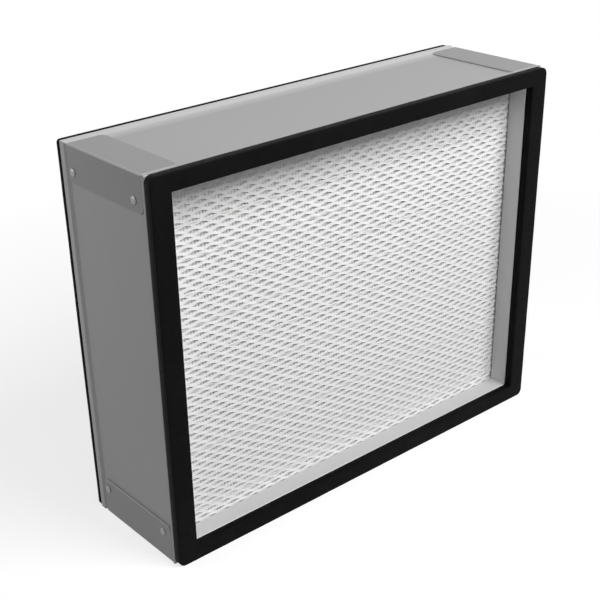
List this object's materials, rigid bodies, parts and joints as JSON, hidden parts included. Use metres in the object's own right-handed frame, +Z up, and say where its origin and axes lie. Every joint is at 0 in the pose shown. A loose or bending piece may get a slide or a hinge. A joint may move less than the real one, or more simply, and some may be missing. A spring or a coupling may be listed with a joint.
{
  "type": "hepa filter panel",
  "caption": "Rectangular air filter panel: channel frame with riveted corner brackets, white expanded metal guards over a pleated pack, and a black gasket on each face.",
  "frame": {"origin": "middle of the base, half way between the front and rear gasket faces", "axes": "+X along the long side, +Y from the front face (the one the picture shows) to the rear face, +Z up"},
  "size_m": [0.5882, 0.171, 0.457],
  "materials": {
    "frame_metal": "satin anodised extrusion, mid grey",
    "bracket_metal": "satin sheet, slightly darker than the frame",
    "rivet_metal": "smooth domed head",
    "guard_enamel": "white coated expanded steel",
    "filter_paper": "matt white glass fibre paper",
    "hot_melt": "off-white hot melt",
    "potting": "cast polyurethane",
    "gasket_foam": "matt black closed cell foam"
  },
  "bodies": {
    "root": {"frame_bottom": "frame_metal", "frame_top": "frame_metal", "frame_left": "frame_metal", "frame_right": "frame_metal", "bracket_bottom_left": "bracket_metal", "bracket_bottom_right": "bracket_metal", "bracket_top_left": "bracket_metal", "bracket_top_right": "bracket_metal", "rivets": "rivet_metal", "guard_front": "guard_enamel", "guard_rear": "guard_enamel", "media_pack": "filter_paper", "separator_beads_front": "hot_melt", "separator_beads_rear": "hot_melt", "sealant_bottom": "potting", "sealant_top": "potting", "sealant_left": "potting", "sealant_right": "potting", "gasket_front": "gasket_foam", "gasket_rear": "gasket_foam"}
  },
  "joints": []
}
